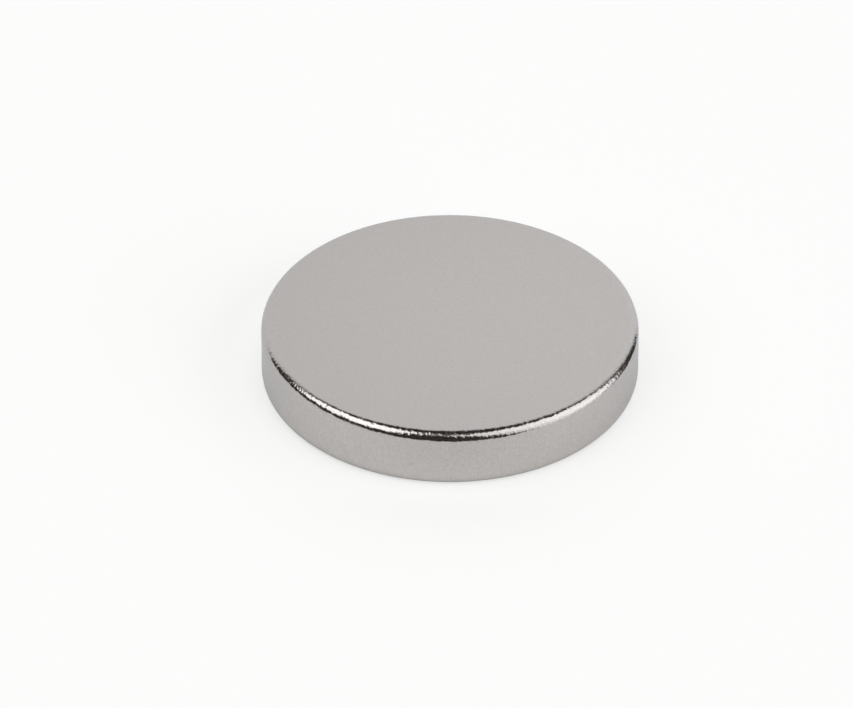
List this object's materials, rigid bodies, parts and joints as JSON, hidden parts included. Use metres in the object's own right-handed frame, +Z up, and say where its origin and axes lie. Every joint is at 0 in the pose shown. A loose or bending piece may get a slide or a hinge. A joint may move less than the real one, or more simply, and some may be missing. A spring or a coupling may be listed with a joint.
{
  "type": "disc magnet",
  "caption": "Flat round permanent magnet, nickel plated, with plain pole faces and tumbled edges, that holds to steel by a face or sits in a round recess.",
  "frame": {"origin": "centre of the lower pole face, which the disc lies on", "axes": "+Z up along the disc's axis, from the lower pole face to the upper one; X and Y are alike, because the disc is round"},
  "size_m": [0.03, 0.03, 0.005],
  "materials": {
    "nickel_plate": "bright nickel plate over a tumbled sintered disc"
  },
  "bodies": {
    "root": {"magnet": "nickel_plate"}
  },
  "joints": []
}
